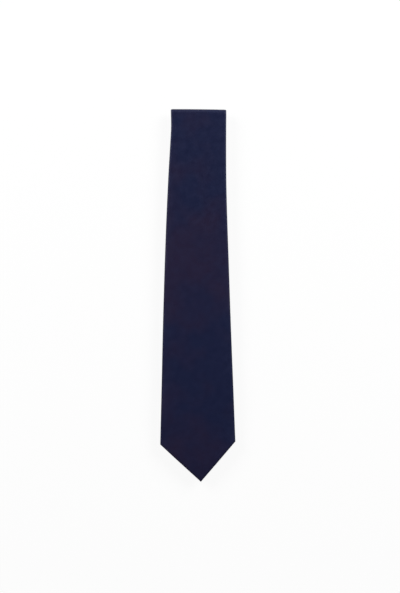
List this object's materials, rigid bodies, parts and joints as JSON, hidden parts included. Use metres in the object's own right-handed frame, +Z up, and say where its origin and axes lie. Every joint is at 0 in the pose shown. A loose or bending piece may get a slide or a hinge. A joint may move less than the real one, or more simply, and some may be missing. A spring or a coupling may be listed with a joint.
{
  "type": "necktie",
  "caption": "Plain dark navy satin necktie with a pointed blade, lined tips, keeper loop and blank label, lying folded flat with its blade face up.",
  "frame": {"origin": "middle of the folded tie's footprint, on the surface that it lies on", "axes": "+Z up out of the front blade's face; +Y along the tie from the blade's tip to the top fold; +X across the tie"},
  "size_m": [0.085, 0.424, 0.0168],
  "materials": {
    "tie_cloth": "satin",
    "interlining": "matte",
    "tipping": "satin",
    "thread": "satin",
    "label": "satin",
    "care_label": "satin"
  },
  "bodies": {
    "upper_back": {"front_panel_upper": "tie_cloth", "neck_panel_upper": "tie_cloth", "front_interlining_upper": "interlining", "neck_interlining_upper": "interlining", "front_seam_stitches": "thread", "front_interlining_stitches": "thread", "upper_back_slip_stitches": "thread", "front_panel_fold": "tie_cloth", "front_interlining_fold": "interlining", "neck_panel_fold": "tie_cloth", "neck_interlining_fold": "interlining"},
    "front_blade": {"front_panel_blade": "tie_cloth", "front_interlining_blade": "interlining", "front_tipping": "tipping", "front_tipping_stitches": "thread", "keeper_loop": "tie_cloth", "keeper_loop_stitches": "thread", "label_patch": "label", "label_stitches": "thread", "care_label": "care_label", "blade_slip_stitches": "thread", "blade_bar_tack": "thread"},
    "neck": {"neck_panel_lower": "tie_cloth", "tail_panel_upper": "tie_cloth", "neck_interlining_lower": "interlining", "tail_interlining_upper": "interlining", "tail_seam_stitches": "thread", "tail_interlining_stitches": "thread", "neck_slip_stitches": "thread", "tail_panel_fold": "tie_cloth", "tail_interlining_fold": "interlining"},
    "tail": {"tail_panel_blade": "tie_cloth", "tail_interlining_blade": "interlining", "tail_tipping": "tipping", "tail_tipping_stitches": "thread", "tail_slip_stitches": "thread", "tail_bar_tack": "thread"}
  },
  "joints": [
    {"name": "top_fold", "type": "hinge", "parent": "upper_back", "child": "front_blade", "pos_m": [0, 0.20795, 0.01275], "axis": [-1, 0, 0], "range_deg": [0, 179.9], "deforming": ["front_panel_fold", "front_interlining_fold"]},
    {"name": "neck_fold", "type": "hinge", "parent": "upper_back", "child": "neck", "pos_m": [0, -0.18125, 0.0081], "axis": [-1, 0, 0], "range_deg": [0, 179.9], "deforming": ["neck_panel_fold", "neck_interlining_fold"]},
    {"name": "tail_fold", "type": "hinge", "parent": "neck", "child": "tail", "pos_m": [0, 0.20795, 0.00375], "axis": [1, 0, 0], "range_deg": [0, 179.9], "deforming": ["tail_panel_fold", "tail_interlining_fold"]}
  ]
}
